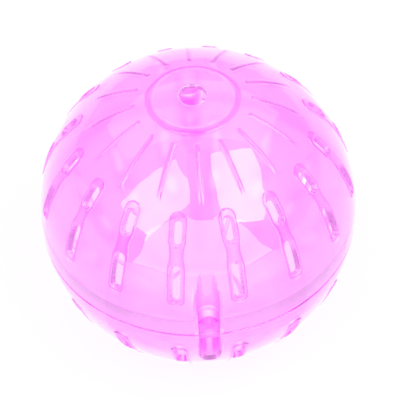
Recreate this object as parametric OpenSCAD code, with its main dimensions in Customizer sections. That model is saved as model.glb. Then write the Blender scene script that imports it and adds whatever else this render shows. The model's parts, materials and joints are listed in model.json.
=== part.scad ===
// Hamster ball in clear plastic: two half shells that push together.
// Millimetres, +Z up through both pole holes, origin at the middle of the ball.
// The release latches lie on the Y axis, one at the front (-Y) and one at the back.
// The lower shell repeats the upper shell's pattern, mirrored about the middle plane.

/* [Ball] */
// Outer diameter of the ball
ball_d = 100; // [80:1:130]
// Thickness of the moulded wall
wall = 1.6; // [1.4:0.1:2.2]
// Height of the raised outlines above the ball's surface
raise = 0.25; // [0.15:0.05:0.5]

/* [Joint between the shells] */
// How far the parting line lies below the middle of the ball
seam_drop = 2.4; // [1:0.1:4]
// Height of the lower shell's spigot above the parting line
spigot_h = 6; // [4:0.5:8]
// Thickness of the spigot at its top edge
spigot_t = 0.9; // [0.7:0.05:1.1]
// Thickness of the upper shell's skirt at its mouth
skirt_t = 0.85; // [0.7:0.05:1]
// How much the skirt's socket narrows on its way up
socket_draft = 0.35; // [0.2:0.05:0.5]
// Clearance between pieces that slide on each other
fit_gap = 0.15; // [0.1:0.05:0.25]
// Clearance above the spigot and the tongues, so that the shells seat on the parting line
end_gap = 0.2; // [0.1:0.05:0.5]
// Chamfer on both edges of the parting line
seam_chamfer = 0.3; // [0.1:0.05:0.4]

/* [Pole] */
// Diameter of the hole at each pole, where a stand's pin goes in
pole_hole_d = 8; // [4:0.5:12]
// Chamfer round the outside of the pole hole
pole_chamfer = 0.5; // [0.2:0.1:0.8]
// Outer diameter of the raised ring round the pole
ring_d = 28.3; // [24:0.1:32]
// Width of the raised ring
ring_w = 1.75; // [1:0.05:2.5]

/* [Vents] */
// Vents round each shell, and ribs above them
vent_count = 16; // [8:4:16]
// Polar angle of the pad's end near the pole
pad_start = 43.3; // [42:0.1:45]
// Polar angle of the pad's end near the parting line
pad_end = 77.5; // [76:0.1:79]
// Width of the pad's round end near the pole
pad_top_w = 5; // [4.6:0.1:5.4]
// Width of the pad's squarer end near the parting line
pad_foot_w = 5.1; // [4.6:0.1:5.4]
// Corner radius of the squarer end
pad_foot_r = 1.6; // [1:0.1:2]
// Width of the waist between the two windows
waist_w = 3.9; // [3.4:0.1:4.4]
// Polar angle of the waist
waist_at = 58.2; // [57:0.1:59.5]
// Length of the waist, over which the sides draw in and swell out again
waist_l = 7.5; // [6:0.1:9]
// Width of a window at the inner wall
window_w = 2; // [1.6:0.1:2.4]
// Width that the sloping sides add to a window at the pad's face
window_flare = 1.8; // [1:0.1:2]
// Polar angles of the short window's two ends at the inner wall
short_window = [46.6, 54.8];
// Polar angles of the long window's two ends at the inner wall
long_window = [62.6, 76.1];

/* [Ribs] */
// Polar angle of a rib's dotted end
rib_start = 21.1; // [20:0.1:24]
// Polar angle of a rib's other end
rib_end = 42.6; // [38:0.1:43]
// Height of a rib above the ball's surface
rib_h = 0.35; // [0.2:0.05:0.6]
// Radius of a rib's rounded section
rib_r = 0.9; // [0.6:0.05:0.9]
// Radius of the round dot that ends a rib near the pole
rib_dot_r = 1; // [1:0.05:1.1]

/* [Release latches] */
// Radius of the half-round groove across each shell
latch_r = 3.55; // [3:0.05:4]
// Depth of the groove below the ball's surface at the middle plane
latch_depth = 5.3; // [4.5:0.1:6]
// Thickness of the wall behind the groove
latch_wall = 0.8; // [0.7:0.1:1.4]
// Height of the tongue's root below the parting line
root_h = 1.5; // [1:0.1:2.5]

/* [Hidden] */
$fn = 96;
R = ball_d / 2;
inner_R = R - wall;
// Overrun that takes every cut clear through
over = wall;
// Radius of the ball's outside at the parting line
seam_R = sqrt(R * R - seam_drop * seam_drop);
socket_mouth = seam_R - skirt_t;
socket_end = socket_mouth - socket_draft;
spigot_top = spigot_h - seam_drop;
spigot_in = socket_end - fit_gap - spigot_t;
latch_mid = R - latch_depth + latch_r;
step = 360 / vent_count;
plastic = [0.98, 0.66, 0.98, 0.75];

// Stands its children on the ball's axis line: local +Z points outwards at a polar angle,
// and local +X runs down the meridian towards the parting line.
module at_polar(polar, turn) {
    rotate([0, polar, turn]) children();
}

// Half plane right of the axis, from one height to another
module strip(low, high) {
    translate([0, low]) square([ball_d, high - low]);
}

// Section of the upper shell: wall, raised ring, pole hole and socket
module upper_section() {
    difference() {
        intersection() {
            union() {
                circle(R);
                intersection() {
                    circle(R + raise);
                    translate([ring_d / 2 - ring_w, 0]) square([ring_w, ball_d]);
                }
            }
            strip(-seam_drop, ball_d);
        }
        circle(inner_R);
        pole_section();
        polygon([
            [0, -seam_drop - over], [socket_mouth, -seam_drop - over], [socket_mouth, -seam_drop],
            [socket_end, spigot_top + end_gap], [0, spigot_top + end_gap]
        ]);
    }
}

// Section of the lower shell: mirrored wall, and the spigot that stands inside the skirt
module lower_section() {
    difference() {
        union() {
            difference() {
                union() {
                    circle(R);
                    intersection() {
                        circle(R + raise);
                        translate([ring_d / 2 - ring_w, -ball_d]) square([ring_w, ball_d]);
                    }
                }
                circle(inner_R);
                translate([-ball_d, -ball_d]) square([ball_d, 2 * ball_d]);
                translate([0, -seam_drop]) square([ball_d, ball_d]);
            }
            polygon([
                [socket_mouth - fit_gap, -seam_drop], [socket_end - fit_gap, spigot_top],
                [spigot_in, spigot_top],
                [spigot_in, -sqrt(inner_R * inner_R - spigot_in * spigot_in)]
            ]);
        }
        mirror([0, 1]) pole_section();
    }
}

// Section of the pole hole with its chamfer, at the upper pole
module pole_section() {
    hole_r = pole_hole_d / 2;
    face = sqrt(R * R - hole_r * hole_r);
    square([hole_r, ball_d]);
    polygon([
        [hole_r, face - pole_chamfer], [hole_r + pole_chamfer + over, face + over],
        [0, face + over], [0, face - pole_chamfer]
    ]);
}

// The bevels on both edges of the parting line, as one V-shaped ring
module seam_bevel() {
    reach = seam_chamfer + over;
    rotate_extrude() polygon([
        [seam_R - seam_chamfer, -seam_drop], [seam_R + over, -seam_drop + reach],
        [seam_R + over, -seam_drop - reach]
    ]);
}

// Outline of a vent's pad, flat, with X running down the meridian from the pad's middle.
// Its sides follow two large arcs at the waist.
module pad_outline(mid) {
    top = R * sin(pad_start - mid) + pad_top_w / 2;
    foot = R * sin(pad_end - mid) - pad_foot_r;
    waist = R * sin(waist_at - mid);
    dip = (max(pad_top_w, pad_foot_w) - waist_w) / 2;
    side_r = (waist_l * waist_l / 4 + dip * dip) / (2 * dip);
    difference() {
        union() {
            polygon([
                [top, -pad_top_w / 2], [waist, -pad_top_w / 2], [waist, -pad_foot_w / 2],
                [foot, -pad_foot_w / 2], [foot, pad_foot_w / 2], [waist, pad_foot_w / 2],
                [waist, pad_top_w / 2], [top, pad_top_w / 2]
            ]);
            translate([top, 0]) circle(d = pad_top_w);
            for (side = [-1, 1])
                translate([foot, side * (pad_foot_w / 2 - pad_foot_r)]) circle(pad_foot_r);
            translate([foot - pad_foot_r, pad_foot_r - pad_foot_w / 2])
                square([2 * pad_foot_r, pad_foot_w - 2 * pad_foot_r]);
        }
        for (side = [-1, 1])
            translate([waist, side * (waist_w / 2 + side_r)]) circle(side_r);
    }
}

// One vent's raised pad, standing on the middle of the wall
module pad(turn) {
    mid = (pad_start + pad_end) / 2;
    intersection() {
        at_polar(mid, turn) translate([0, 0, R / 2]) linear_extrude(R) pad_outline(mid);
        difference() {
            sphere(R + raise);
            sphere(R - wall / 2);
        }
    }
}

// One window: a round-ended slot whose sides slope open towards the pad's face
module window(ends, turn) {
    mid = (ends[0] + ends[1]) / 2;
    half_l = inner_R * sin((ends[1] - ends[0]) / 2) - window_w / 2;
    deep = wall + raise;
    slope = window_flare / 2 / deep;
    low = window_w / 2 - slope * over;
    high = window_w / 2 + slope * (deep + over);
    at_polar(mid, turn) translate([0, 0, inner_R - over]) {
        for (end = [-1, 1])
            translate([end * half_l, 0, 0]) cylinder(h = deep + 2 * over, r1 = low, r2 = high);
        translate([-half_l, 0, 0]) rotate([90, 0, 90]) linear_extrude(2 * half_l)
            polygon([[-low, 0], [low, 0], [high, deep + 2 * over], [-high, deep + 2 * over]]);
    }
}

// One rib: a rounded arc half sunk in the wall, with a round dot at its end near the pole
module rib(turn) {
    rotate(turn) {
        rotate([90, 0, 0]) rotate(90 - rib_end) rotate_extrude(angle = rib_end - rib_start)
            translate([R + rib_h - rib_r, 0]) circle(rib_r);
        at_polar(rib_start, 0) translate([0, 0, R + rib_h - rib_r]) sphere(rib_dot_r);
    }
}

// The raised pads and ribs of one shell
module raised_pattern() {
    for (i = [0 : vent_count - 1]) {
        pad((i + 0.5) * step - 90);
        rib(i * step - 90);
    }
}

// The windows of one shell
module windows() {
    for (i = [0 : vent_count - 1]) {
        window(short_window, (i + 0.5) * step - 90);
        window(long_window, (i + 0.5) * step - 90);
    }
}

// An upright round column at both latches, from one height to another
module latch_column(r, low, high) {
    for (turn = [-90, 90])
        rotate(turn) translate([latch_mid, 0, low]) cylinder(h = high - low, r = r);
}

// Upper shell: dome with skirt, pads, ribs, windows and the two latch grooves
module upper_shell() {
    color(plastic) difference() {
        union() {
            rotate_extrude() upper_section();
            raised_pattern();
            intersection() {
                latch_column(latch_r + latch_wall, -seam_drop, R);
                sphere(R);
            }
        }
        windows();
        latch_column(latch_r, -seam_drop - over, R);
        seam_bevel();
    }
}

// Lower shell: bowl with spigot, pads, ribs, windows, latch grooves and the two tongues
module lower_shell() {
    color(plastic) union() {
        difference() {
            union() {
                difference() {
                    rotate_extrude() lower_section();
                    latch_column(latch_r + latch_wall + fit_gap, -seam_drop, R);
                }
                mirror([0, 0, 1]) raised_pattern();
                intersection() {
                    latch_column(latch_r + latch_wall, -R, -seam_drop);
                    sphere(R);
                }
            }
            mirror([0, 0, 1]) windows();
            latch_column(latch_r, -R, -seam_drop - root_h);
            seam_bevel();
        }
        intersection() {
            union() {
                latch_column(latch_r, -seam_drop - root_h, -seam_drop);
                latch_column(latch_r - fit_gap, -seam_drop - root_h, spigot_top);
            }
            sphere(R);
        }
    }
}

upper_shell();
lower_shell();
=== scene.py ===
# %% [markdown]
# # A clear pink hamster ball
# The real ball is two half shells of clear tinted polystyrene that push together. Each
# shell has sixteen raised, waisted pads with two windows each, sixteen thin ribs, a raised
# ring round a hole at its pole, and two release latches. This lesson builds both shells as
# smooth surfaces worked out with numpy, because clear plastic shows every flat facet: what
# is seen through it and mirrored in it bends with the surface, so the surface and its
# normals have to be exact.

# %% Load the frame
import json
import math

import bmesh
import bpy
import numpy as np
from mathutils import Matrix, Vector


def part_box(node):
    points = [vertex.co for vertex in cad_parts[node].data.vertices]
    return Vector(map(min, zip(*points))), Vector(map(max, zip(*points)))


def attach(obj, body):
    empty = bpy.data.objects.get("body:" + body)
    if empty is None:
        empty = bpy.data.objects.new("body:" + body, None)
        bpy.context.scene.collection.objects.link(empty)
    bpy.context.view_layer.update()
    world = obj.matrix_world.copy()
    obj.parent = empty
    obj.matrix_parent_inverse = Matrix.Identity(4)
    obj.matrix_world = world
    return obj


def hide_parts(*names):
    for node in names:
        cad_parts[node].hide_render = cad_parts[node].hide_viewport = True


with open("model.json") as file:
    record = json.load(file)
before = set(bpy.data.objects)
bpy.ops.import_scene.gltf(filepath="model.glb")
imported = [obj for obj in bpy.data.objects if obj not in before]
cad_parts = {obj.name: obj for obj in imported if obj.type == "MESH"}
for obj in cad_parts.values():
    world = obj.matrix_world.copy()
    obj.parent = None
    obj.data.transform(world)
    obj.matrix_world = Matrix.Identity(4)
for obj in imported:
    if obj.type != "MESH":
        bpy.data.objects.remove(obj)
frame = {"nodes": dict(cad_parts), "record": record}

scene = bpy.context.scene
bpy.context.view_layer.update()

# %% [markdown]
# ## Sizes
# All shape work is done in millimetres and turned into metres when a mesh is made. The
# ball's radius and the pole hole come from the frame. The others are this moulding's own
# sizes: angles are polar angles in degrees, measured from the pole.

# %% Sizes of the moulding
MM = 0.001
low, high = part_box("upper_shell")
BALL_R = round((high[0] - low[0]) / 2 / MM, 1)
HOLE_R = frame["record"]["mounts"][0]["dims"]["r_mm"]
WALL = 1.6
INNER_R = BALL_R - WALL
RAISE = 0.25  # height of pads and ring
SEAM_DROP = 2.4  # the parting line lies this far below the ball's middle
SEAM_BEVEL = 0.3
SEAM_R = math.sqrt(BALL_R**2 - SEAM_DROP**2)
SPIGOT_TOP = 3.6
SPIGOT_T, TIP_T = 0.9, 0.4  # the spigot's thickness at its foot and at its top edge
SKIRT_T = 0.85
DRAFT = 0.35
FIT_GAP = 0.15
END_GAP = 0.2
SOCKET_MOUTH = SEAM_R - SKIRT_T
SOCKET_END = SOCKET_MOUTH - DRAFT
SPIGOT_IN = SOCKET_END - FIT_GAP - SPIGOT_T
VENTS = 16
STEP = 2 * math.pi / VENTS
HALF = STEP / 2  # from a rib to the next vent
print(f"ball {2 * BALL_R} mm, pole hole {2 * HOLE_R} mm, seam at radius {SEAM_R:.2f} mm")

# %% [markdown]
# ## The vent pattern as a height over the sphere
# A vent is a pad that stands a quarter of a millimetre proud, with two windows whose sides
# slope like funnels. It could be cut with booleans, but they leave slivers that show in
# clear plastic. Here the outside of the shell is one height function over the sphere, so
# pads, ribs, ring and funnels are all smooth formulas, rounded where they meet.

# %% Helpers for smooth shapes
def smooth_max(a, b, soft):
    """The larger of a and b, rounded over where the two differ by less than soft."""
    return np.maximum(a, b) + np.maximum(soft - np.abs(a - b), 0) ** 2 / (4 * soft)


def ease(x):
    """0 below 0, 1 above 1, and the cubic 3x^2 - 2x^3 in between."""
    x = np.clip(x, 0, 1)
    return x * x * (3 - 2 * x)


def step_down(distance, width):
    """1 inside an outline and 0 outside, eased over a width centred on the outline."""
    return ease(0.5 - distance / width)


# %% Funnels of the two windows
SHORT_WINDOW = (46.6, 54.8)
LONG_WINDOW = (62.6, 76.1)
WINDOW_HALF_W = 1.0
FUNNEL_SLOPE = 0.9 / (WALL + RAISE)
EDGE_ROUND = 0.2  # the inner edge of a window is rounded to this height
FUNNEL_REACH = 4  # mm beyond which a funnel's height no longer matters


def funnel(polar, off, ends):
    """How far above the inner wall a window's sloping side lies in a direction.

    off is the azimuth from the vent's middle. In the window's own flat frame the side is
    where the distance to a straight slot is half its width plus slope times height.
    """
    middle = math.radians(sum(ends) / 2)
    half_l = INNER_R * math.sin(math.radians(ends[1] - ends[0]) / 2) - WINDOW_HALF_W
    along = np.sin(polar) * np.cos(off) * math.cos(middle) - np.cos(polar) * math.sin(middle)
    up = np.sin(polar) * np.cos(off) * math.sin(middle) + np.cos(polar) * math.cos(middle)
    across = INNER_R * np.sin(polar) * np.sin(off)
    reach = np.hypot(np.maximum(np.abs(INNER_R * along) - half_l, 0), across)
    rise = reach - WINDOW_HALF_W + FUNNEL_SLOPE * INNER_R * (1 - up)
    return rise / (FUNNEL_SLOPE * up - np.minimum(reach, FUNNEL_REACH) / INNER_R)


def funnels(polar, off):
    """The lower of both windows' funnels."""
    return np.minimum(funnel(polar, off, SHORT_WINDOW), funnel(polar, off, LONG_WINDOW))


# %% Outline of the pad
PAD_START, PAD_END = 43.3, 77.5
PAD_MIDDLE = math.radians((PAD_START + PAD_END) / 2)
PAD_TOP_HALF, PAD_FOOT_HALF, PAD_FOOT_R = 2.5, 2.55, 1.6
WAIST_AT, WAIST_HALF, WAIST_L = 58.2, 1.95, 7.5
PAD_EDGE = 0.34  # width over which the pad's edge falls
RIM_ROUND = 0.2  # how softly the pad's face turns into a window
WAIST_ROUND = 0.3


def from_pad_middle(degrees):
    """Place along the flat pad, in mm, of a polar angle in degrees."""
    return BALL_R * math.sin(math.radians(degrees) - PAD_MIDDLE)


def pad_distance(polar, off):
    """Distance to the pad's outline, negative inside.

    The pad is a round-ended bar joined to a bar with two corner radii, and two large
    circles take away its sides at the waist.
    """
    x = BALL_R * (np.sin(polar) * np.cos(off) * math.cos(PAD_MIDDLE)
                  - np.cos(polar) * math.sin(PAD_MIDDLE))
    y = np.abs(BALL_R * np.sin(polar) * np.sin(off))
    top = from_pad_middle(PAD_START) + PAD_TOP_HALF
    foot = from_pad_middle(PAD_END) - PAD_FOOT_R
    waist = from_pad_middle(WAIST_AT)
    upper = np.hypot(np.minimum(x - top, 0), y) - PAD_TOP_HALF
    corner = np.maximum(y - (PAD_FOOT_HALF - PAD_FOOT_R), 0)
    lower = np.hypot(np.maximum(x - foot, 0), corner) - PAD_FOOT_R
    bar = np.where(x < waist, upper, lower)
    dip = PAD_FOOT_HALF - WAIST_HALF
    side_r = (WAIST_L**2 / 4 + dip**2) / (2 * dip)
    side = side_r - np.hypot(x - waist, y - (WAIST_HALF + side_r))
    return smooth_max(bar, side, WAIST_ROUND)


# %% Ring and ribs
RING_OUT, RING_W, RING_EDGE = 14.15, 1.75, 0.55
RIB_START, RIB_END, RIB_FADE = 21.1, 43.2, 35.0
RIB_R, RIB_H, DOT_R = 1.02, 0.28, 1.1
RING_H = RAISE / 2
RIB_ROUND, DOT_ROUND = 0.12, 0.02  # how softly a rib and its dot meet the wall and each other


def off_ring(polar):
    """Distance from the middle line of the raised ring."""
    return np.abs(BALL_R * np.sin(polar) - (RING_OUT - RING_W / 2))


def ring_height(polar):
    """The raised ring: a low band with eased edges round the pole."""
    return RING_H * step_down(off_ring(polar) - RING_W / 2, RING_EDGE)


def rib_fade(polar):
    """1 along a rib, easing to 0 at its far end."""
    return 1 - ease((np.degrees(polar) - RIB_FADE) / (RIB_END - RIB_FADE))


def rib_height(polar, azimuth):
    """A rib: the top of a thin round bar sunk in the wall, which fades out at its far end
    and has a round dot at the end near the pole."""
    sunk = RIB_R - RIB_H
    y = BALL_R * np.sin(polar) * np.sin(azimuth)
    along = BALL_R * (polar - math.radians(RIB_START))
    bar = np.sqrt(np.maximum(RIB_R**2 - y**2 - np.minimum(along, 0)**2, 0)) - sunk
    dot = np.sqrt(np.maximum(DOT_R**2 - y**2 - along**2, 0)) - sunk
    bar = smooth_max(bar, 0, RIB_ROUND) * rib_fade(polar)
    return smooth_max(bar, smooth_max(dot, 0, RIB_ROUND), DOT_ROUND) - DOT_ROUND / 4


def outer_radius(polar, azimuth):
    """Radius of the outside in a direction. azimuth runs from a rib or latch (0) to the
    middle of the vent beside it (half a step)."""
    off = HALF - azimuth
    height = RAISE * step_down(pad_distance(polar, off), PAD_EDGE)
    face = BALL_R + height + ring_height(polar) + rib_height(polar, azimuth)
    return -smooth_max(-face, -(INNER_R + funnels(polar, off)), RIM_ROUND)


def inner_radius(polar, azimuth):
    """Radius of the inside, which turns up over a rounded edge at each window."""
    past = (funnels(polar, HALF - azimuth) - EDGE_ROUND) * FUNNEL_SLOPE
    return INNER_R + EDGE_ROUND * np.clip(1 - past / EDGE_ROUND, 0, 1) ** 2


# %% Depth of the tint with painted shade, and how matt the faces are
PLAIN_TINT = 0.43  # the plain wall's tint, where 0 is none and 1 the deepest
GROOVE_TINT = 0.25  # the upper grooves' tint in their middle
TIP_SHADE = 0.4  # painted shade on the spigot's top edge, which tones down the light line it mirrors
# The outlines and the ribs' sides are painted shade. The pads' faces, ring, ribs and dots are deeper
# partly for their thicker plastic and partly as painted shade.
PAD_TINT_AND_SHADE, OUTLINE_SHADE = 0.32, 0.58
RING_TINT_AND_SHADE, RIB_TINT_AND_SHADE, RIB_SIDE_SHADE, DOT_TINT_AND_SHADE = 0.72, 0.45, 0.25, 0.9
INSIDE_FROST, JOINT_FROST = 0.4, 1.0  # how matt the inside and the joint's faces are
EDGE_FROST, TONGUE_FROST = 0.2, 0.5


def line(distance, width):
    """A soft line, 1 on it: exp(-(distance / width)^2)."""
    return np.exp(-(distance / width) ** 2)


def deepened(plain, shade):
    """A tint that lies between the plain one (shade 0) and the deepest (shade 1)."""
    return plain + (1 - plain) * shade


def outer_tint(polar, azimuth):
    """How deep the outside's colour is, with painted shade: dark painted lines along the
    outlines of the pads and beside the ribs, where the real edges refract, and deeper colour
    on the dots, over the pads' faces, over the ring and along the ribs, partly for their
    thicker plastic and partly painted shade. It fades out inside the windows, which paints
    their sloping sides lighter. Distances and widths are in mm."""
    off = HALF - azimuth
    pad = pad_distance(polar, off)
    shade = PAD_TINT_AND_SHADE * step_down(pad, 0.3) + OUTLINE_SHADE * line(pad + 0.08, 0.2)
    shade = shade * ease((funnels(polar, off) - 1.5) / 0.3)
    shade = np.maximum(shade, RING_TINT_AND_SHADE * step_down(off_ring(polar) - 0.74, 0.5))
    across = np.abs(BALL_R * np.sin(polar) * np.sin(azimuth))
    along = BALL_R * (polar - math.radians(RIB_START))
    off_rib = np.hypot(np.minimum(along, 0), across)
    rib = RIB_TINT_AND_SHADE * step_down(off_rib - 0.72, 0.3) + RIB_SIDE_SHADE * line(off_rib - 0.6, 0.16)
    shade = np.maximum(shade, rib * rib_fade(polar))
    shade = np.maximum(shade, DOT_TINT_AND_SHADE * line(np.hypot(along, across), 0.5))
    return deepened(PLAIN_TINT, shade)


def outer_frost(polar, azimuth):
    """The windows' sloping sides are less glossy than the rest of the outside."""
    return 0.6 * step_down(funnels(polar, HALF - azimuth) - 1.75, 0.2)


def off_middle(turned):
    """How far a latch cylinder's point lies off its middle plane, as a share of its radius."""
    return np.where(np.abs(turned) < math.pi / 2, np.sin(np.abs(turned)), 1.0)


def latch_tint(turned, z, lower, inside):
    """Tint of the latch's groove and of the half tube behind it, with painted shade. The
    tube's middle has one painted dark band near the parting line. The lower groove has two
    painted dark bands beside a light middle, which fade out away from the parting line. The
    upper groove is painted darker towards its sides, its edge and the parting line, where
    the real concave groove is shaded. z is the height in mm, which in the lower shell points
    down. inside is true for the tube."""
    side = off_middle(turned)
    if inside:
        fade = 1 - ease((z - 9) / 3) if lower else 0.7 * (1 - ease((z - 4) / 5))
        return deepened(PLAIN_TINT, (1 - ease((side - 0.45) / 0.3)) * fade)
    if lower:
        shade = ease((side - 0.15) / 0.15) * (1 - 0.6 * ease((side - 0.72) / 0.2))
        return deepened(PLAIN_TINT, shade * (1 - ease((z - 15) / 7)))
    near_seam = 1 - ease((z + SEAM_DROP) / 24)
    shade = (0.3 + 0.6 * near_seam) * ease((side - 0.45) / 0.45)
    shade = np.maximum(shade, 1 - ease((z - 2.4) / 1.2))
    edge = (np.arange(turned.shape[1]) < 1) | (z > BALL_R * math.cos(GROOVE_TIP) - 0.1)
    return deepened(GROOVE_TINT, np.maximum(shade, 0.9 * edge))


print("pad face", outer_radius(math.radians(WAIST_AT), HALF), "mm from the ball's middle")

# %% [markdown]
# ## Laying the grid
# The grid's columns run down the meridians and swerve round each outline, so that edges of
# the moulding fall on edges of the mesh. For each row the place of a column is found by
# halving: it is where a function, such as the distance to the pad's outline, has a chosen
# value. Rows crowd together where an outline closes in a round end.

# %% Rows and columns of the grid
def crossing(function, value, low, high):
    """Where an increasing function passes a value, for whole arrays, by halving."""
    low, high = np.broadcast_arrays(np.asarray(low, float), np.asarray(high, float))
    for _ in range(40):
        middle = (low + high) / 2
        under = function(middle) < value
        low, high = np.where(under, middle, low), np.where(under, high, middle)
    return (low + high) / 2


def window_tips():
    """Polar angles at which the windows' inner edges begin and end, on the middle line."""
    tips = []
    for ends in (SHORT_WINDOW, LONG_WINDOW):
        middle = math.radians(sum(ends) / 2)
        tips.append(float(crossing(
            lambda p: -funnel(p, 0.0, ends), -EDGE_ROUND, middle - 0.2, middle)))
        tips.append(float(crossing(
            lambda p: funnel(p, 0.0, ends), EDGE_ROUND, middle, middle + 0.2)))
    return np.round(tips, 9)


TIPS = window_tips()
ARC = 1 / BALL_R  # one millimetre along the sphere, in radians
POLE_ROUND, INNER_ROUND = 0.7, 0.25  # radii of the pole hole's outer and inner edge
POLE_EDGE = math.asin((HOLE_R + POLE_ROUND) / (BALL_R - POLE_ROUND))
INNER_POLE = math.asin((HOLE_R + INNER_ROUND) / (INNER_R + INNER_ROUND))
LEAST_GAP = 0.08 * ARC  # between two rows
LATCH_R, LATCH_DEPTH, LATCH_WALL, ROOT_H = 3.55, 5.3, 0.8, 1.5
LATCH_MID = BALL_R - LATCH_DEPTH + LATCH_R  # the latch's axis, from the ball's axis
GROOVE_TIP = math.asin((LATCH_MID - LATCH_R) / BALL_R)
TUBE_TIP = math.asin((LATCH_MID - LATCH_R - LATCH_WALL) / INNER_R)


def round_end(tip, reach, count):
    """Rows from a round end inwards, crowded at the tip as 1 - cos does."""
    return tip + reach * ARC * (1 - np.cos(np.linspace(0, math.pi / 2, count)))


def pattern_rows(last, also=()):
    """Polar angles of all rows from the pole's rim to the last one, near the seam."""
    rad = math.radians
    ring = [np.arcsin((RING_OUT - inset + np.array([-0.24, -0.09, 0.09, 0.24])) / BALL_R)
            for inset in (0, RING_W)]
    before_tip = ARC * np.array([0.85, 0.68, 0.5, 0.3, 0.18, 0.09])
    rows = [np.radians([7, 9, 11, 12.8, 15.4, 17.6, 18.8, 19.6]), *ring,
            rad(RIB_START) + ARC * np.array([-1.0, -0.84, -0.7, -0.45, 0, 0.45, 0.8]),
            np.radians(np.arange(23, 42.6, 1.6)), [rad(PAD_START) - 0.5 * ARC],
            round_end(rad(PAD_START) - 0.16 * ARC, 2.6, 7),
            round_end(rad(PAD_START) + 0.16 * ARC, 2.3, 4),
            np.linspace(TIPS[0] + 1.6 * ARC, TIPS[1] - 1.6 * ARC, 4),
            np.linspace(TIPS[1] + 1.3 * ARC, TIPS[2] - 1.2 * ARC, 5),
            GROOVE_TIP + ARC * np.array([0, 0.1, 0.3, 0.7, 1.2]),
            np.linspace(TIPS[2] + 2.4 * ARC, TIPS[3] - 1.6 * ARC, 8),
            round_end(rad(PAD_END) - 0.15 * ARC, -1.4, 4),
            round_end(rad(PAD_END) + 0.15 * ARC, -1.6, 6),
            np.radians([79.2, 81.5, 84.5, 88, 90])]
    for tip, inwards in zip(TIPS, (1, -1, 1, -1)):
        rows += [round_end(tip, 1.2 * inwards, 6), tip - inwards * before_tip]
    rows = np.sort(np.concatenate(rows))
    kept_rows = np.array([POLE_EDGE, *TIPS, GROOVE_TIP, TUBE_TIP, *also, last])
    kept = []
    for row in rows:  # a row too close to the last or to a kept one is dropped
        clear = np.abs(kept_rows - row).min() > LEAST_GAP
        if clear and row < last and (not kept or row - kept[-1] > LEAST_GAP):
            kept.append(row)
    return np.sort(np.concatenate([kept, kept_rows]))


def lay_columns(polar, values_and_functions, gap):
    """Azimuths from the vent's middle at which each function has its value, row by row, and
    at least gap mm apart, also where an outline doesn't reach a row."""
    columns, none = [], np.zeros_like(polar)
    for function, value in values_and_functions:
        place = crossing(lambda off: function(polar, off), value, none, WIDEST)
        place = np.where(function(polar, none) >= value - 1e-6, 0, place)
        if columns:
            place = np.maximum(place, columns[-1] + gap / (BALL_R * np.sin(polar)))
        columns.append(place)
    return np.stack(columns, 1)


GAP = 0.13
WIDEST = 0.14  # azimuth from the vent's middle, in radians, past its pad everywhere
NEAR_POLE = 6  # mm, the least radius of a level circle that columns are measured on
OUTLINES = [(funnels, EDGE_ROUND), (funnels, 0.75), (funnels, 1.4), (funnels, 1.78),
            (funnels, 2.2), (pad_distance, -0.2), (pad_distance, -0.07),
            (pad_distance, 0.07), (pad_distance, 0.24)]
RIB_LINES = np.array([0.95, 0.76, 0.62, 0.42, 0.2, 0.0])  # mm from the rib's middle
SPREAD = 5  # plain columns between the pad's outline and the next rib or groove


def spread_to(columns, end, count):
    """Adds count evenly spaced columns from the last one up to end."""
    start = columns[:, -1:]
    share = np.arange(1, count + 1) / count
    return np.concatenate([columns, start + (np.reshape(end, (-1, 1)) - start) * share], 1)


def eased_columns(polar, at_pads, at_ribs, even):
    """Even columns near the pole, those of the ribs beside the ribs and those of the pads
    beside the pads, with eased changes between."""
    degrees = np.degrees(polar)[:, None]
    rib_share, pad_share = ease((degrees - 17.5) / 2.0), ease((degrees - 41.0) / 1.9)
    return pad_share * at_pads + (1 - pad_share) * (rib_share * at_ribs + (1 - rib_share) * even)


PLAIN_COLUMNS = len(OUTLINES) + SPREAD
MAIN = slice(0, PLAIN_COLUMNS)
PLAIN_EVEN = np.linspace(0, 1, PLAIN_COLUMNS) * HALF


def off_rib_middle(distance, ring_r):
    """Azimuth on a level circle at a distance in mm beside the middle line of a rib."""
    return np.arcsin(distance / np.maximum(ring_r, NEAR_POLE))


def outer_columns(polar):
    """Azimuths from the vent's middle of a plain half sector's columns on the outside."""
    at_pads = spread_to(lay_columns(polar, OUTLINES, GAP), HALF, SPREAD)
    rib_lines = HALF - off_rib_middle(RIB_LINES, (BALL_R * np.sin(polar))[:, None])
    share = np.linspace(0, 1, PLAIN_COLUMNS - len(RIB_LINES), endpoint=False)
    at_ribs = np.concatenate([share * rib_lines[:, :1], rib_lines], 1)
    return eased_columns(polar, at_pads, at_ribs, PLAIN_EVEN)


def window_edge(polar):
    """Azimuth of the windows' inner edge from the vent's middle, 0 where there is none."""
    return lay_columns(polar, OUTLINES[:1], GAP)[:, 0]


# %% [markdown]
# ## The latch groove and the wall behind it
# At both latches a half-round groove runs up the outside, and a half tube stands behind it
# on the inside. Both are upright cylinders on one axis, so a point on them is placed by its
# angle round that axis. Where a cylinder meets the ball follows from the law of cosines.

# %% Cylinders of the latch
TUBE_R = LATCH_R + LATCH_WALL
TONGUE_R = LATCH_R - FIT_GAP
NOTCH_R = TUBE_R + FIT_GAP
GROOVE_COLUMNS = 10


def meeting_azimuth(ring_r, column_r):
    """Azimuth at which a level circle about the ball's axis meets an upright cylinder about
    the latch's axis, 0 where the circle is too small to reach it."""
    cosine = (ring_r**2 + LATCH_MID**2 - column_r**2) / (2 * ring_r * LATCH_MID)
    return np.where(ring_r > LATCH_MID - column_r, np.arccos(np.clip(cosine, -1, 1)), 0.0)


def turn_at(ring_r, column_r):
    """The same meeting point's angle round the latch's axis, from the inward side."""
    azimuth = meeting_azimuth(ring_r, column_r)
    return np.where(azimuth > 0, np.arctan2(
        ring_r * np.sin(azimuth), LATCH_MID - ring_r * np.cos(azimuth)), 0.0)


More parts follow.
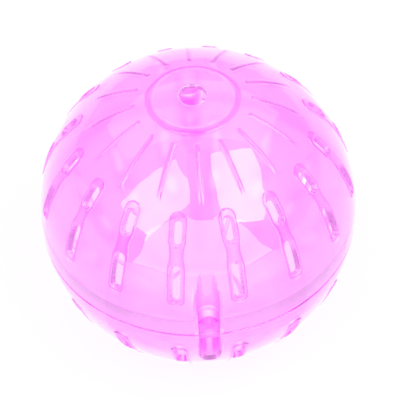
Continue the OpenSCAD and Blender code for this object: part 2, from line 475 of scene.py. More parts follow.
def column_points(turn, z, column_r):
    """Points on an upright cylinder about the latch's axis."""
    turn, z = np.broadcast_arrays(turn, z)
    return np.stack([LATCH_MID - column_r * np.cos(turn), column_r * np.sin(turn), z], -1)


def column_normals(points, sign):
    """Level unit vectors away from the latch's axis (sign 1) or towards it (-1)."""
    away = points - np.array([LATCH_MID, 0, 0])
    away[..., 2] = 0
    return sign * away / np.linalg.norm(away, axis=-1, keepdims=True)


def ring_points(ring_r, azimuth, z):
    """Points on level circles about the ball's axis."""
    ring_r, azimuth, z = np.broadcast_arrays(ring_r, azimuth, z)
    return np.stack([ring_r * np.cos(azimuth), ring_r * np.sin(azimuth), z], -1)


def ring_normals(azimuth, outwards, upwards):
    """Unit vectors that lean outwards and upwards by the given shares."""
    size = math.hypot(outwards, upwards)
    azimuth = np.asarray(azimuth)
    return ring_points(outwards / size, azimuth, np.full(azimuth.shape, upwards / size))


# %% Points and normals on the height functions
def skin_points(radius, polar, azimuth):
    """Points at radius(polar, azimuth) in each direction."""
    r = radius(polar, azimuth)
    return np.stack([r * np.sin(polar) * np.cos(azimuth),
                     r * np.sin(polar) * np.sin(azimuth), r * np.cos(polar)], -1)


def skin_normals(radius, polar, azimuth):
    """The cross product of the surface's two slopes, from small steps either way."""
    step = 2e-4
    down = (skin_points(radius, polar + step, azimuth)
            - skin_points(radius, polar - step, azimuth))
    wide = step / np.sin(polar)
    around = (skin_points(radius, polar, azimuth + wide)
              - skin_points(radius, polar, azimuth - wide))
    normal = np.cross(down, around)
    return normal / np.linalg.norm(normal, axis=-1, keepdims=True)


# %% [markdown]
# ## Collecting patches into one closed shell
# Each shell is a set of grid patches. A patch keeps its own normals, so two patches that
# meet at an edge stay crisp there, while a patch is smooth inside. The patches are modelled
# for one half sector, copied round by turning and mirroring, and welded.

# %% The patch collector
class Shell:
    """Patches of one closed surface, in millimetres, and the turns that copy them round."""

    def __init__(self):
        self.points, self.normals, self.quads, self.total = [], [], [], 0
        self.tint, self.frost, self.turns = [], [], ()

    def add(self, points, normals, tint=0.0, frost=JOINT_FROST):
        """Adds a grid patch, turned to each angle and mirrored beside it. The side that
        faces out is read from the normals. tint is how deep the surface's colour is,
        painted shade included, and frost how matt it is, each one number or one for each point."""
        tint = np.broadcast_to(tint, points.shape[:2])
        frost = np.broadcast_to(frost, points.shape[:2])
        frost = (frost[1:, 1:] + frost[:-1, :-1]) / 2
        for turn in self.turns:
            for side in (1, -1):
                matrix = np.array([[math.cos(turn), -math.sin(turn) * side, 0],
                                   [math.sin(turn), math.cos(turn) * side, 0], [0, 0, 1]])
                self.add_grid(points @ matrix.T, normals @ matrix.T)
                self.tint.append(tint.ravel())
                self.frost.append(frost.ravel())

    def add_grid(self, points, normals):
        rows, columns = points.shape[:2]
        index = self.total + np.arange(rows * columns).reshape(rows, columns)
        quads = np.stack([index[:-1, :-1], index[1:, :-1], index[1:, 1:], index[:-1, 1:]], -1)
        across = np.cross(points[1:, 1:] - points[:-1, :-1], points[:-1, 1:] - points[1:, :-1])
        agrees = (across * (normals[1:, 1:] + normals[:-1, :-1])).sum()
        if agrees < 0:
            quads = quads[..., ::-1]
        self.points.append(points.reshape(-1, 3))
        self.normals.append(normals.reshape(-1, 3))
        self.quads.append(quads.reshape(-1, 4))
        self.total += rows * columns

    def mesh_object(self, name, upside_down=False):
        """Welds the patches into one mesh object, with the patches' normals on its corners."""
        points, normals = np.concatenate(self.points), np.concatenate(self.normals)
        quads = np.concatenate(self.quads)
        if upside_down:
            points, normals = points * [1, 1, -1], normals * [1, 1, -1]
            quads = quads[:, ::-1]
        mesh = bpy.data.meshes.new(name)
        mesh.vertices.add(len(points))
        mesh.vertices.foreach_set("co", (points * MM).astype(np.float32).ravel())
        mesh.loops.add(quads.size)
        mesh.loops.foreach_set("vertex_index", quads.astype(np.int32).ravel())
        mesh.polygons.add(len(quads))
        mesh.polygons.foreach_set("loop_start", np.arange(0, quads.size, 4, dtype=np.int32))
        mesh.update(calc_edges=True)
        wanted = mesh.attributes.new("wanted", "FLOAT_VECTOR", "CORNER")
        wanted.data.foreach_set("vector", normals[quads.ravel()].astype(np.float32).ravel())
        tint = mesh.attributes.new("tint", "FLOAT", "CORNER")
        tint.data.foreach_set("value", np.concatenate(self.tint)[quads.ravel()].astype(np.float32))
        frost = mesh.attributes.new("frost", "FLOAT", "FACE")
        frost.data.foreach_set("value", np.concatenate(self.frost).astype(np.float32))
        net = bmesh.new()
        net.from_mesh(mesh)
        bmesh.ops.remove_doubles(net, verts=net.verts, dist=2e-6)
        open_edges = sum(1 for edge in net.edges if len(edge.link_faces) != 2)
        net.to_mesh(mesh)
        net.free()
        mesh.polygons.foreach_set("use_smooth", np.ones(len(mesh.polygons), bool))
        flat = np.empty(len(mesh.loops) * 3, np.float32)
        mesh.attributes["wanted"].data.foreach_get("vector", flat)
        mesh.normals_split_custom_set(flat.reshape(-1, 3))
        mesh.attributes.remove(mesh.attributes["wanted"])
        thing = bpy.data.objects.new(name, mesh)
        scene.collection.objects.link(thing)
        triangles = sum(len(face.vertices) - 2 for face in mesh.polygons)
        print(f"{name}: {triangles} triangles, {open_edges} open edges")
        return thing


FRONT = -math.pi / 2
ALL_TURNS = [FRONT + i * STEP for i in range(VENTS)]
LATCH_TURNS = [FRONT, FRONT + math.pi]
PLAIN_TURNS = [turn for i, turn in enumerate(ALL_TURNS) if i % (VENTS // 2)]

# %% Columns beside a latch, and on the inside
BESIDE = 0.95  # mm that the latch's columns keep from the middle line above the groove
NOTCH_SHARE = 1.2  # the notch's column keeps this many times BESIDE
ON_NOTCH = 0.002  # least azimuth of the notch's column from the latch, in radians
LATCH_EVEN = np.arange(PLAIN_COLUMNS) / (PLAIN_COLUMNS + GROOVE_COLUMNS - 1) * HALF
SAME = 1e-9  # radians within which two rows are the same
WINDOW_ROUND = np.array([0, 0.08, 0.18, 0.32])  # mm from a window's edge on the inside


def latch_columns(polar, edge):
    """Azimuths from the vent's middle on the outside of a half sector with a latch. edge is
    the groove's edge, as an azimuth from the latch. The last columns are the groove's."""
    below = polar >= GROOVE_TIP - SAME
    end = HALF - np.where(below, edge, off_rib_middle(BESIDE, BALL_R * np.sin(polar)))
    at_pads = spread_to(lay_columns(polar, OUTLINES, GAP), end, SPREAD)
    at_ribs = np.linspace(0, 1, PLAIN_COLUMNS) * end[:, None]
    main = eased_columns(polar, at_pads, at_ribs, LATCH_EVEN)
    return spread_to(main, HALF, GROOVE_COLUMNS)


def inner_columns(polar, ring_r, latch):
    """Azimuths from the vent's middle on the inside: the window's edge, three close ones
    that carry its rounding, and even ones to the rib, or to the half tube at a latch."""
    first = window_edge(polar)[:, None] + WINDOW_ROUND / ring_r[:, None]
    share = ease((np.degrees(polar) - 10) / 12)[:, None]
    left = PLAIN_COLUMNS - len(WINDOW_ROUND)
    if not latch:
        wanted = spread_to(first, HALF, left)
        return share * wanted + (1 - share) * PLAIN_EVEN
    below = polar >= TUBE_TIP - SAME
    beside = off_rib_middle(BESIDE, ring_r)
    notch = HALF - np.where(below, np.maximum(meeting_azimuth(ring_r, NOTCH_R), ON_NOTCH),
                            NOTCH_SHARE * beside)
    tube = HALF - np.where(below, meeting_azimuth(ring_r, TUBE_R), beside)
    wanted = np.concatenate([spread_to(first, notch, left - 1), tube[:, None]], 1)
    main = share * wanted + (1 - share) * LATCH_EVEN
    return spread_to(main, HALF, GROOVE_COLUMNS)


def tube_turns(ring_r, column_r, count):
    """Angles round the latch's axis from where a cylinder meets each level circle to its
    inward side, count steps."""
    return turn_at(ring_r, column_r)[:, None] * (1 - np.arange(count + 1) / count)


# %% The dome: everything of a shell above its seam
def pole_rim(shell, outer_off, inner_off):
    """The pole hole: a rounded outer edge, the hole's wall and a rounded inner edge, as one
    profile carried round."""
    level = -math.pi / 2
    arcs = []
    for size, reach, polar, ends in (
            (POLE_ROUND, BALL_R - POLE_ROUND, POLE_EDGE, (POLE_EDGE, level)),
            (INNER_ROUND, INNER_R + INNER_ROUND, INNER_POLE, (level, INNER_POLE - math.pi))):
        lean = np.linspace(*ends, 6)
        arcs.append(np.stack([reach * math.sin(polar) + size * np.sin(lean),
                              reach * math.cos(polar) + size * np.cos(lean),
                              np.sin(lean), np.cos(lean)], 1))
    profile = np.concatenate(arcs)
    share = np.linspace(0, 1, len(profile))[:, None]
    # Painted shade and light: a dark line where the outer edge leaves the ball, then a lighter band
    # on the rounded edge, easing to the plain wall's tint inside.
    tint = np.interp(np.arange(len(profile)), [0, 1, 2, 5, 11], [0.95, 0.3, 0.05, 0.2, 0.4])
    azimuth = HALF - ((1 - share) * outer_off + share * inner_off)
    points = ring_points(profile[:, :1], azimuth, profile[:, 1:2])
    normals = ring_points(profile[:, 2:3], azimuth, profile[:, 3:4])
    shell.add(points, normals, tint[:, None], EDGE_FROST)


def dome(shell, outer_polar, inner_polar, latch, groove_end):
    """Outside, pole rim and inside of all plain half sectors, or of the latch ones, whose
    groove ends at a polar angle. Returns the lowest rows' columns outside and inside."""
    shell.turns = LATCH_TURNS if latch else PLAIN_TURNS
    edge = meeting_azimuth(BALL_R * np.sin(outer_polar), LATCH_R)
    outer_off = latch_columns(outer_polar, edge) if latch else outer_columns(outer_polar)
    inner_off = inner_columns(inner_polar, INNER_R * np.sin(inner_polar), latch)
    last = slice(PLAIN_COLUMNS - 1, None)
    for radius, size, polar, off, column_r, side in (
            (outer_radius, BALL_R, outer_polar, outer_off, LATCH_R, 1),
            (inner_radius, INNER_R, inner_polar, inner_off, TUBE_R, -1)):
        p, a = polar[:, None], HALF - off
        tint = outer_tint(p, a) if side > 0 else PLAIN_TINT + 0 * a
        frost = outer_frost(p, a) if side > 0 else INSIDE_FROST + 0 * a
        main = (p, a[:, MAIN])
        shell.add(skin_points(radius, *main), side * skin_normals(radius, *main),
                  tint[:, MAIN], frost[:, MAIN])
        if latch:
            tip = int(np.argmin(np.abs(polar - (GROOVE_TIP if side > 0 else TUBE_TIP))))
            above = (p[:tip + 1], a[:tip + 1, last])
            shell.add(skin_points(radius, *above), side * skin_normals(radius, *above),
                      tint[:tip + 1, last], frost[:tip + 1, last])
            rows = polar[tip:]
            rows = rows[rows < groove_end + SAME] if side > 0 else rows
            turned = tube_turns(size * np.sin(rows), column_r, GROOVE_COLUMNS)
            points = column_points(turned, (size * np.cos(rows))[:, None], column_r)
            normals = column_normals(points, -side)
            points[0] = skin_points(radius, p[tip], a[tip, -1:])
            tint = latch_tint(turned, (size * np.cos(rows))[:, None], groove_end < math.pi, side < 0)
            shell.add(points, normals, tint, 0 if side > 0 else JOINT_FROST)
    pole_rim(shell, outer_off[0], inner_off[0])
    return outer_off[-1], inner_off[-1]


def inner_rows(outer_polar, first, last):
    """The outside's rows at the windows, which the half tube's tip is among, and every
    second degree or so of the others, between the inside's first and last row."""
    windows = TIPS.reshape(2, 2)
    kept = [first]
    for row in outer_polar:
        needed = any(a - 0.4 * ARC <= row <= b + 0.4 * ARC for a, b in windows)
        spaced = row - kept[-1] > math.radians(1.9)
        if first < row < last - 0.3 * ARC and (needed or spaced):
            kept.append(row)
    return np.array(kept + [last])


# %% Bands that close a shell at the seam
def bevel_start(seam_z):
    """Where the seam's 45 degree bevel meets the ball: (a + t, b + t) lies on the ball."""
    a, b = SEAM_R - SEAM_BEVEL, seam_z
    t = (-(a + b) + math.sqrt((a + b)**2 - 2 * (a * a + b * b - BALL_R**2))) / 2
    return a + t, b + t


def close_seam(shell, rings, looks):
    """Bands from ring to ring round the seam, which lean as the rings' profile does. A ring
    is its (radius, height) and its columns' azimuths from the vent's middle. A look is a
    band's colour depth with any painted shade, its frost and the columns that it has."""
    for (start, first), (end, last), (tint, frost, columns) in zip(rings, rings[1:], looks):
        azimuth = HALF - np.stack([first, last])[:, columns]
        ring_r, z = np.transpose([start, end])[:, :, None]
        normals = ring_normals(azimuth, start[1] - end[1], end[0] - start[0])
        shell.add(ring_points(ring_r, azimuth, z), normals, tint, frost)


def lip_columns(outer_off, lip_r):
    """The outside's columns on the lip's circle, the last plain one at the groove's edge."""
    off = outer_off.copy()
    off[PLAIN_COLUMNS - 1] = HALF - meeting_azimuth(lip_r, LATCH_R)
    return off


def column_arc(ring_r, z, column_r, count=GROOVE_COLUMNS):
    """Points along a latch cylinder at one height, from where a level circle meets it."""
    return column_points(tube_turns(np.array([ring_r]), column_r, count)[0], z, column_r)


def column_bands(shell, ends, signs):
    """Bands on latch cylinders: each end is (level circle's radius, height, cylinder's
    radius). A flat band joins two cylinders at one height."""
    for start, end, sign in zip(ends, ends[1:], signs):
        points = np.stack([column_arc(*start), column_arc(*end)])
        if start[1] == end[1]:
            flat_patch(shell, points, sign)
        else:
            shell.add(points, column_normals(points, sign))


def flat_patch(shell, rows, facing, tint=0.0, frost=JOINT_FROST):
    """A level patch between rows of points, facing up (1) or down (-1)."""
    points = np.stack(rows)
    normals = np.zeros_like(points)
    normals[..., 2] = facing
    shell.add(points, normals, tint, frost)


def notched(off, ring_r):
    """The same columns on another level circle, the last two plain ones at the notch and at
    the tube."""
    off = off.copy()
    off[PLAIN_COLUMNS - 2] = HALF - meeting_azimuth(ring_r, NOTCH_R)
    off[PLAIN_COLUMNS - 1] = HALF - meeting_azimuth(ring_r, TUBE_R)
    return off


# %% Upper shell
def build_upper():
    """The upper shell in its place: the dome, and under it the bevel, the flat rim, the
    drafted socket for the spigot and the ledge above it."""
    shell = Shell()
    seam_z = -SEAM_DROP
    ledge_z, ledge_rise = SPIGOT_TOP + END_GAP, 1.5
    bevel, lip = bevel_start(seam_z), (SEAM_R - SEAM_BEVEL, seam_z)
    mouth, socket = (SOCKET_MOUTH, seam_z), (SOCKET_END, ledge_z)
    ledge = (math.sqrt(INNER_R**2 - (ledge_z + ledge_rise)**2), ledge_z + ledge_rise)
    outer_polar = pattern_rows(math.acos(bevel[1] / BALL_R))
    inner_polar = inner_rows(outer_polar, INNER_POLE, math.acos(ledge[1] / INNER_R))
    print("rows outside and inside:", len(outer_polar), len(inner_polar))
    for latch in (False, True):
        outer_off, inner_off = dome(shell, outer_polar, inner_polar, latch, math.pi)
        lip_off, mouth_off, socket_off = outer_off, inner_off, inner_off
        if latch:
            lip_off = lip_columns(outer_off, lip[0])
            mouth_off, socket_off = notched(inner_off, mouth[0]), notched(inner_off, socket[0])
            column_bands(shell, [(*bevel, LATCH_R), (*lip, LATCH_R), (*mouth, TUBE_R),
                                 (*socket, TUBE_R), (*ledge, TUBE_R)], (-1, -1, 1, 1))
        close_seam(shell, [(bevel, outer_off), (lip, lip_off), (mouth, mouth_off),
                           (socket, socket_off), (ledge, inner_off)],
                   [(1, EDGE_FROST, MAIN), (1, JOINT_FROST, MAIN), (0, JOINT_FROST, MAIN),
                    (PLAIN_TINT, INSIDE_FROST, MAIN)])
    return shell


upper = build_upper().mesh_object("upper_shell_skin")

# %% [markdown]
# ## The lower shell
# The lower shell repeats the pattern, mirrored. It is built upside down, so that the same
# dome serves, and flipped when its mesh is made. In place of the socket it has the spigot,
# a thin collar that stands inside the upper shell's skirt. The collar is notched at each
# latch, where a flexible tongue rises from a root in the groove.

# %% Lower shell
TONGUE_STEPS = GROOVE_COLUMNS - 1


def on_ball(azimuth, z):
    """Points of the ball's surface on level circles."""
    return ring_points(np.sqrt(BALL_R**2 - np.asarray(z)**2), azimuth, z)


def tongue_front(z):
    """Azimuths of the tongue's columns on the ball at each height."""
    z = np.atleast_1d(z)
    edge = meeting_azimuth(np.sqrt(BALL_R**2 - z**2), TONGUE_R)
    return edge[:, None] * (1 - np.arange(TONGUE_STEPS + 1) / TONGUE_STEPS)


def add_root(shell, rows_z, root_z, lip):
    """The root that fills the groove's end: its face on the ball and its level ledge."""
    heights = np.append(rows_z, lip[1])
    beside = meeting_azimuth(np.sqrt(BALL_R**2 - heights**2), LATCH_R)
    azimuth = np.concatenate([beside[:, None], tongue_front(heights)], 1)
    points = on_ball(azimuth, heights[:, None])
    points[-1, 0] = ring_points(lip[0], meeting_azimuth(lip[0], LATCH_R), lip[1])
    # Painted shade: the root is darkest beside the groove and a little lighter in its middle.
    tint = np.linspace(1, 0.85, TONGUE_STEPS + 2)
    shell.add(points, points / BALL_R, tint, TONGUE_FROST)
    ring_r = math.sqrt(BALL_R**2 - root_z**2)
    flat_patch(shell, [column_arc(ring_r, root_z, LATCH_R), points[0]], 1)


def add_tongue(shell, base_z, top_z):
    """The tongue: its face on the ball, its half-round back and its level top."""
    heights = np.linspace(base_z, top_z, 6)
    front = on_ball(tongue_front(heights), heights[:, None])
    back = np.stack([column_arc(math.sqrt(BALL_R**2 - z * z), z, TONGUE_R, TONGUE_STEPS)
                     for z in heights])
    # Painted shade: the tongue's face and back are darkest at their sides and lighter in the middle,
    # the back most so, as is the top's back edge.
    tint, back_tint = np.linspace(1, 0.7, TONGUE_STEPS + 1), np.linspace(1, 0.4, TONGUE_STEPS + 1)
    shell.add(front, front / BALL_R, tint, TONGUE_FROST)
    shell.add(back, column_normals(back, 1), tint)
    between = 0.6 * front[-1] + 0.4 * back[-1]
    flat_patch(shell, [front[-1], between, back[-1]], -1,
               np.stack([tint, tint, back_tint]), TONGUE_FROST)
    return back[0]


def add_latch_rim(shell, lip, lip_azimuth, foot_r, tongue_base):
    """The level rim round the tongue and its root, from the bevel to the half tube."""
    inner_arc = column_arc(SPIGOT_IN, lip[1], TUBE_R)
    beside = ring_points(lip[0], meeting_azimuth(lip[0], LATCH_R), lip[1])
    outer_arc = np.concatenate([[beside], tongue_base])
    middle_arc = (inner_arc + outer_arc) / 2
    flat_patch(shell, [outer_arc, middle_arc, inner_arc], -1)
    notch = [ring_points(r, meeting_azimuth(r, NOTCH_R), lip[1]) for r in (foot_r, SPIGOT_IN)]
    start = ring_points(lip[0], lip_azimuth, lip[1])
    flat_patch(shell, [np.stack(pair) for pair in
                       ((start, outer_arc[0]), (notch[0], middle_arc[0]),
                        (notch[1], inner_arc[0]))], -1)


def add_notch_end(shell, corners):
    """The collar's end beside a tongue, on the notch's cylinder. corners are (radius,
    height) pairs in two rows."""
    points = np.array([[ring_points(r, meeting_azimuth(r, NOTCH_R), z) for r, z in row]
                       for row in corners])
    shell.add(points, column_normals(points, -1))


def build_lower():
    """The lower shell, upside down: its pattern faces up and its collar points down. Beside
    a latch the collar's bands lack their last column, which the notch's end closes."""
    shell = Shell()
    seam_z, top_z, root_z = SEAM_DROP, -SPIGOT_TOP, SEAM_DROP + ROOT_H
    bevel, lip = bevel_start(seam_z), (SEAM_R - SEAM_BEVEL, seam_z)
    foot, base = (SOCKET_MOUTH - FIT_GAP, seam_z), (SPIGOT_IN, seam_z)
    tip_out, tip_in = (SOCKET_END - FIT_GAP, top_z), (SOCKET_END - FIT_GAP - TIP_T, top_z)
    meet = (SPIGOT_IN, math.sqrt(INNER_R**2 - SPIGOT_IN**2))
    root_polar = math.acos(root_z / BALL_R)
    outer_polar = pattern_rows(math.acos(bevel[1] / BALL_R), also=[root_polar])
    inner_polar = inner_rows(outer_polar, INNER_POLE, math.acos(meet[1] / INNER_R))
    print("rows outside and inside:", len(outer_polar), len(inner_polar))
    for latch in (False, True):
        outer_off, inner_off = dome(shell, outer_polar, inner_polar, latch, root_polar)
        side, lip_off, foot_off, tip_off = MAIN, outer_off, inner_off, inner_off
        edge_off = inner_off
        if latch:
            side = slice(0, PLAIN_COLUMNS - 1)
            lip_off = lip_columns(outer_off, lip[0])
            foot_off, tip_off = notched(inner_off, foot[0]), notched(inner_off, tip_out[0])
            edge_off = notched(inner_off, tip_in[0])
            rows_z = BALL_R * np.cos(outer_polar[outer_polar > root_polar - SAME])
            add_root(shell, rows_z, root_z, lip)
            tongue_base = add_tongue(shell, seam_z, top_z)
            add_latch_rim(shell, lip, HALF - lip_off[PLAIN_COLUMNS - 2], foot[0],
                          tongue_base)
            add_notch_end(shell, ((foot, base), (tip_out, tip_in)))
            column_bands(shell, [(*meet, TUBE_R), (*base, TUBE_R)], (1,))
        close_seam(shell, [(bevel, outer_off), (lip, lip_off), (foot, foot_off),
                           (tip_out, tip_off), (tip_in, edge_off), (base, inner_off),
                           (meet, inner_off)],
                   [(1, EDGE_FROST, MAIN), (1, JOINT_FROST, side), (0, JOINT_FROST, side),
                    (TIP_SHADE, JOINT_FROST, side), (PLAIN_TINT, INSIDE_FROST, side),
                    (PLAIN_TINT, INSIDE_FROST, MAIN)])
    return shell


lower = build_lower().mesh_object("lower_shell_skin", upside_down=True)
for skin, node, body in ((upper, "upper_shell", "upper"), (lower, "lower_shell", "lower")):
    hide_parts(node)
    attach(skin, body)

# %% [markdown]
# ## Clear tinted plastic
# Transparent polystyrene is coloured through and through, so light that has crossed more
# of it is deeper pink: in the raised pads, ring and ribs and where the two shells overlap.
# A traced ray follows that only roughly in walls this thin, and leaves the windows' sides
# black if the plastic is dense. So the depth of the colour is kept on the mesh, in its
# tint attribute, and only a weak Volume Absorption is left inside. That
# attribute also holds painted shade and light: dark lines along the outlines of the pads
# and beside the ribs, deeper bands on the ring, darker sides in the latch grooves and on
# the tongues, and a dark line and a lighter band on the pole hole's rounded edge. The
# surface is a clear gloss with slight waves from the mould and fine scuffs, matt where the
# shells touch. A shadow ray passes straight through with a pale tint, since a lamp's light
# otherwise doesn't get through refracting glass.

# %% Moulded surface: waves and scuffs
def math_node(tree, operation, *inputs):
    """A Math node with its inputs linked or set."""
    node = tree.nodes.new("ShaderNodeMath")
    node.operation = operation
    for slot, value in zip(node.inputs, inputs):
        if isinstance(value, (int, float)):
            slot.default_value = value
        else:
            tree.links.new(value, slot)
    return node.outputs[0]


def set_inputs(node, values):
    """Sets a node's inputs by name."""
    for name, value in values.items():
        node.inputs[name].default_value = value


def noise_node(tree, place, scale, detail):
    """A Noise texture on object coordinates, about 0.5."""
    node = tree.nodes.new("ShaderNodeTexNoise")
    set_inputs(node, {"Scale": scale, "Detail": detail})
    tree.links.new(place, node.inputs["Vector"])
    return node.outputs["Fac"]


def mixed(tree, kind, factor, first, second):
    """A Mix node from the first value to the second."""
    node = tree.nodes.new("ShaderNodeMix")
    node.data_type = kind
    for name, value in (("Factor", factor), ("A", first), ("B", second)):
        tree.links.new(value, node.inputs[name])
    return node.outputs["Result"]


def mapped(tree, value, *ends):
    """A Map Range node from the first two numbers to the last two."""
    node = tree.nodes.new("ShaderNodeMapRange")
    set_inputs(node, dict(zip(("From Min", "From Max", "To Min", "To Max"), ends)))
    tree.links.new(value, node.inputs["Value"])
    return node.outputs["Result"]


def attribute(tree, name):
    """A mesh attribute as a number."""
    node = tree.nodes.new("ShaderNodeAttribute")
    node.attribute_name = name
    return node.outputs["Fac"]


def moulded_surface():
    """A group whose waves are broad noise used as height, and whose scuffs are fine noise
    raised to a power, which roughen the gloss in a few places. The frost attribute makes
    faces matt, and the tint attribute colours them, painted shade included."""
    group = bpy.data.node_groups.new("moulded surface", "ShaderNodeTree")
    for name, kind, way in (("Wave height", "NodeSocketFloat", "INPUT"),
                            ("Smooth roughness", "NodeSocketFloat", "INPUT"),
                            ("Scuffed roughness", "NodeSocketFloat", "INPUT"),
                            ("Frosted roughness", "NodeSocketFloat", "INPUT"),
                            ("No tint", "NodeSocketColor", "INPUT"),
                            ("Deepest tint", "NodeSocketColor", "INPUT"),
                            ("Roughness", "NodeSocketFloat", "OUTPUT"),
                            ("Tint", "NodeSocketColor", "OUTPUT"),
                            ("Normal", "NodeSocketVector", "OUTPUT")):
        group.interface.new_socket(name, in_out=way, socket_type=kind)
    given = group.nodes.new("NodeGroupInput")
    out = group.nodes.new("NodeGroupOutput")
    place = group.nodes.new("ShaderNodeTexCoord").outputs["Object"]
    waves = noise_node(group, place, 70.0, 1.0)
    scuffs = math_node(group, "POWER", noise_node(group, place, 900.0, 4.0), 4.0)
    height = math_node(group, "MULTIPLY", waves, given.outputs["Wave height"])
    bump = group.nodes.new("ShaderNodeBump")
    bump.inputs["Distance"].default_value = 1.0
    group.links.new(height, bump.inputs["Height"])
    group.links.new(bump.outputs["Normal"], out.inputs["Normal"])
    rise = math_node(group, "SUBTRACT", given.outputs["Scuffed roughness"],
                     given.outputs["Smooth roughness"])
    rough = math_node(group, "ADD", math_node(group, "MULTIPLY", scuffs, rise),
                      given.outputs["Smooth roughness"])
    group.links.new(mixed(group, "FLOAT", attribute(group, "frost"), rough,
                          given.outputs["Frosted roughness"]), out.inputs["Roughness"])
    group.links.new(mixed(group, "RGBA", attribute(group, "tint"), given.outputs["No tint"],
                          given.outputs["Deepest tint"]), out.inputs["Tint"])
    return group


# %% The plastic
def clear_plastic(surface_group):
    """Clear pink plastic: a glossy refracting surface round an absorbing volume."""
    material = bpy.data.materials.new("clear pink plastic")
    material.use_nodes = True
    tree = material.node_tree
    shader = tree.nodes["Principled BSDF"]
    out = tree.nodes["Material Output"]
    surface = tree.nodes.new("ShaderNodeGroup")
    surface.node_tree = surface_group
    set_inputs(surface, {"Wave height": 0.0004, "Smooth roughness": 0.02,
                         "Scuffed roughness": 0.12, "Frosted roughness": 0.4,
                         "No tint": (1, 1, 1, 1), "Deepest tint": (1, 0.04, 1, 1)})
    for name, taken in (("Tint", "Base Color"), ("Roughness", "Roughness"), ("Normal", "Normal")):
        tree.links.new(surface.outputs[name], shader.inputs[taken])
    set_inputs(shader, {"Transmission Weight": 1.0, "IOR": 1.59})
    passing = tree.nodes.new("ShaderNodeBsdfTransparent")
    set_inputs(passing, {"Color": (0.99, 0.86, 0.99, 1)})
    rays = tree.nodes.new("ShaderNodeLightPath")
    mix = tree.nodes.new("ShaderNodeMixShader")
    tree.links.new(rays.outputs["Is Shadow Ray"], mix.inputs["Fac"])
    tree.links.new(shader.outputs["BSDF"], mix.inputs[1])
    tree.links.new(passing.outputs["BSDF"], mix.inputs[2])
    tree.links.new(mix.outputs["Shader"], out.inputs["Surface"])
    inside = tree.nodes.new("ShaderNodeVolumeAbsorption")
    set_inputs(inside, {"Color": (1, 0, 1, 1), "Density": 15.0})
    tree.links.new(inside.outputs["Volume"], out.inputs["Volume"])
    return material


plastic = clear_plastic(moulded_surface())
for thing in (upper, lower):
    thing.data.materials.append(plastic)
for node in frame["nodes"]:
    for slot in bpy.data.objects[node].material_slots:
        slot.material = plastic
print(plastic.name, "on", upper.name, "and", lower.name)

# %% [markdown]
# ## Studio and camera
# A clear gloss ball shows mostly what it mirrors, so the studio is read from the photo's
# own reflections: two oblong softboxes high at the left and right front, one overhead at
# the back, a broad round one low in front, a lit card on the floor, and black cards that
# cut the reflections to shape. Cards and softboxes are hidden from the camera. The plain
# white floor keeps the ball's pale shadow, and the camera looks down from the photo's side.

# %% White surroundings
def seen_directly(tree):
    """1 for rays from the camera or a refraction, 0 for those that light or are mirrored:
    the room beside the ball is dimmer than its backdrop, so the ball's rim stays pink."""
    rays = tree.nodes.new("ShaderNodeLightPath")
    return math_node(tree, "MAXIMUM", rays.outputs["Is Camera Ray"],
                     rays.outputs["Is Transmission Ray"])


world = bpy.data.worlds.new("white studio")
world.use_nodes = True
world.cycles.sampling_method = "NONE"
scene.world = world
tree = world.node_tree
backdrop = tree.nodes["Background"]
set_inputs(backdrop, {"Color": (1, 1, 1, 1)})
level = mapped(tree, seen_directly(tree), 0, 1, 0.6, 1)
tree.links.new(level, backdrop.inputs["Strength"])
print(world.name, "behind everything")

# %% Floor
def studio_paint(name, base):
    """A matt paint without gloss. Where it glows, the glow is white and isn't taken for a
    lamp. Returns the material and its shader."""
    material = bpy.data.materials.new(name)
    material.use_nodes = True
    material.cycles.emission_sampling = "NONE"
    shader = material.node_tree.nodes["Principled BSDF"]
    set_inputs(shader, {"Base Color": (base, base, base, 1), "Roughness": 0.9,
                        "Specular IOR Level": 0.0, "Emission Color": (1, 1, 1, 1)})
    return material, shader


floor_mesh = bpy.data.meshes.new("floor")
reach, floor_z = 6.0, -math.sqrt(BALL_R**2 - HOLE_R**2) * MM
floor_mesh.from_pydata([(-reach, -reach, floor_z), (reach, -reach, floor_z),
                        (reach, reach, floor_z), (-reach, reach, floor_z)], [], [(0, 1, 2, 3)])
floor = bpy.data.objects.new("floor", floor_mesh)
scene.collection.objects.link(floor)
floor_paint, paint = studio_paint("white floor", 0.15)
tree = floor_paint.node_tree
rays = tree.nodes.new("ShaderNodeLightPath")
# The floor glows, so that it is near white everywhere and the ball's shadow stays pale.
bent = math_node(tree, "MAXIMUM", rays.outputs["Is Glossy Ray"],
                 rays.outputs["Is Transmission Ray"])
glow = math_node(tree, "ADD", bent,
                 math_node(tree, "MULTIPLY", rays.outputs["Is Camera Ray"], 0.72))
tree.links.new(glow, paint.inputs["Emission Strength"])
floor_mesh.materials.append(floor_paint)
print(f"floor {2 * reach} m wide at z {floor_z:.4f} m")

# %% Softboxes
def facing(azimuth, elevation, turn):
    """Axes of a panel that faces the ball from a direction: across, up and away from the
    ball, turned in its own plane. Angles in degrees, azimuth from the front."""
    a, e, t = math.radians(azimuth), math.radians(elevation), math.radians(turn)
    away = Vector((math.sin(a) * math.cos(e), -math.cos(a) * math.cos(e), math.sin(e)))
    side = Vector((0, 0, 1)).cross(away).normalized()
    up = away.cross(side)
    return math.cos(t) * side + math.sin(t) * up, math.cos(t) * up - math.sin(t) * side, away


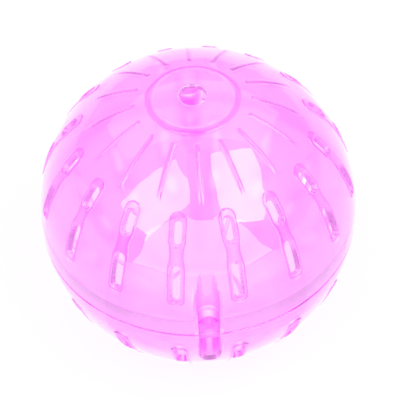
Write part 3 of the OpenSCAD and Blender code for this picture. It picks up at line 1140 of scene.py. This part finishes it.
def softbox(name, azimuth, elevation, turn, width, height, radiance, shape="RECTANGLE",
            distance=1.2):
    """An area lamp whose power gives a chosen radiance: watts = radiance * pi * area. Sizes
    are as seen from the ball at a distance of one metre."""
    lamp = bpy.data.lights.new(name, "AREA")
    lamp.shape = shape
    lamp.size, lamp.size_y = width * distance, height * distance
    area = lamp.size * lamp.size_y * (math.pi / 4 if shape == "ELLIPSE" else 1)
    lamp.energy = radiance * math.pi * area
    thing = bpy.data.objects.new(name, lamp)
    across, up, away = facing(azimuth, elevation, turn)
    thing.matrix_world = Matrix.Translation(away * distance) @ Matrix(
        (across, up, away)).transposed().to_4x4()
    thing.visible_camera = False
    thing.visible_transmission = False
    scene.collection.objects.link(thing)
    print(f"{name}: {lamp.energy:.1f} W")


softbox("left softbox", -45.4, 45.4, 69.0, 0.93, 0.60, 4.2)
softbox("right softbox", 48.5, 49.5, 55.4, 0.87, 0.59, 5.4)
softbox("ceiling softbox", 180.0, 58.0, 0.0, 2.2, 0.95, 1.2)
softbox("front softbox", 0.0, 0.0, 0.0, 2.3, 1.72, 2.9, "ELLIPSE")


# %% Dark and lit cards
CARD_DISTANCE = 1.15  # metres from the ball, just inside the softboxes
ABOVE_FLOOR = 0.0005


def card(name, points, material):
    """A flat card that only mirrored and refracted rays see, so it shows in the reflections
    and leaves the light alone."""
    mesh = bpy.data.meshes.new(name)
    mesh.from_pydata(points, [], [range(len(points))])
    mesh.materials.append(material)
    thing = bpy.data.objects.new(name, mesh)
    thing.visible_camera = False
    thing.visible_diffuse = False
    thing.visible_shadow = False
    scene.collection.objects.link(thing)
    print(name, "with", len(points), "corners")


def dark_card(name, corners):
    """A black card, its corners given as directions from the ball in degrees: azimuth from
    the front and elevation. It takes its shape out of the reflections."""
    card(name, [tuple(facing(*corner, 0)[2] * CARD_DISTANCE) for corner in corners], black)


def lit_card(name, half_width, near, far):
    """A glowing card on the floor before the ball. It carries the front softbox's reflection
    on down the ball: a fan from near to far, in metres, that dims towards the ball and its
    own sides, to the floor's level. half_width is in degrees."""
    azimuth = np.radians(np.linspace(-half_width, half_width, 17))
    arcs = [(r * math.sin(a), -r * math.cos(a), floor_z + ABOVE_FLOOR)
            for r, order in ((near, azimuth), (far, azimuth[::-1])) for a in order]
    glow, shader = studio_paint(name, 0)
    tree = glow.node_tree
    place = tree.nodes.new("ShaderNodeTexCoord").outputs["Object"]
    parts = tree.nodes.new("ShaderNodeSeparateXYZ")
    tree.links.new(place, parts.inputs["Vector"])
    away = math_node(tree, "SQRT", math_node(
        tree, "ADD", math_node(tree, "POWER", parts.outputs["X"], 2.0),
        math_node(tree, "POWER", parts.outputs["Y"], 2.0)))
    lean = math_node(tree, "DIVIDE", math_node(tree, "ABSOLUTE", parts.outputs["X"]), away)
    level = mapped(tree, away, 0.05, 0.3, 1.1, 2.7)
    level = math_node(tree, "MULTIPLY", level, mapped(tree, lean, 0.6, 0.82, 1.0, 0.35))
    level = math_node(tree, "MAXIMUM", level, 1.0)
    tree.links.new(level, shader.inputs["Emission Strength"])
    card(name, arcs, glow)


lit_card("front card", 56, 0.058, 1.1)
black, _ = studio_paint("black card", 0.01)
dark_card("card between softboxes", [(-67, 84), (72, 80), (14, 51), (11, 38), (-10, 39),
                                     (-13, 52)])
dark_card("right card", [(29, 31), (48, 22), (55, 14), (56, -6), (52, -16), (45, 0), (39, 13),
                         (34, 23)])
dark_card("left card", [(-57, 22), (-50, 23), (-39, 22), (-42, 11), (-47, -2), (-54, -13),
                        (-57, -7), (-58, 8)])

# %% Camera
lift, drift, distance = math.radians(49.21), math.radians(-1.77), 0.551
camera = bpy.data.objects.new("camera", bpy.data.cameras.new("camera"))
camera.location = (distance * math.sin(drift) * math.cos(lift),
                   -distance * math.cos(drift) * math.cos(lift), distance * math.sin(lift))
aim = camera.location.to_track_quat("Z", "Y").to_matrix().to_4x4()
roll = Matrix.Rotation(math.radians(-2.79), 4, "Z")
camera.rotation_euler = (aim @ roll).to_euler()
camera.data.sensor_width = 36.0
camera.data.lens = 155.97
camera.data.shift_x, camera.data.shift_y = 0.0048, 0.011
scene.collection.objects.link(camera)
scene.camera = camera
scene.view_settings.view_transform = "Standard"
BOUNCES = 24  # enough for a ray to pass all walls of the ball
scene.cycles.max_bounces = BOUNCES
scene.cycles.transmission_bounces = BOUNCES
scene.cycles.glossy_bounces = BOUNCES
print(f"camera {distance} m away, looking down {math.degrees(lift):.1f} degrees")
